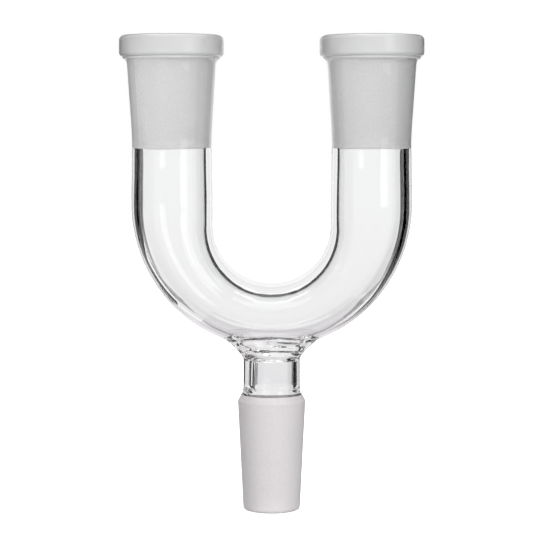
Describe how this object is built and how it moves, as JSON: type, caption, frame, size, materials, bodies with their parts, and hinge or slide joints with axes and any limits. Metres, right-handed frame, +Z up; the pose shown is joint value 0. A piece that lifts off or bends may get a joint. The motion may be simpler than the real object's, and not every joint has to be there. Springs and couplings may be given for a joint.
{
  "type": "two-socket glass U adapter",
  "caption": "U-shaped glass adapter: upright ground sockets on both arms of a bent tube, with a short neck and a ground cone below the bend.",
  "frame": {"origin": "centre of the male cone's lower end, on the cone's axis", "axes": "+Z up along the cone's axis, +X from the left arm to the right arm, +Y away from the viewer"},
  "size_m": [0.0644, 0.022, 0.1012],
  "materials": {
    "clear_glass": "clear, fire-polished borosilicate glass",
    "ground_glass": "borosilicate glass with a finely ground, frosted sealing surface"
  },
  "bodies": {
    "root": {"left_socket": "ground_glass", "right_socket": "ground_glass", "bent_tube": "clear_glass", "tee_seal": "clear_glass", "neck": "clear_glass", "male_cone": "ground_glass"}
  },
  "joints": []
}
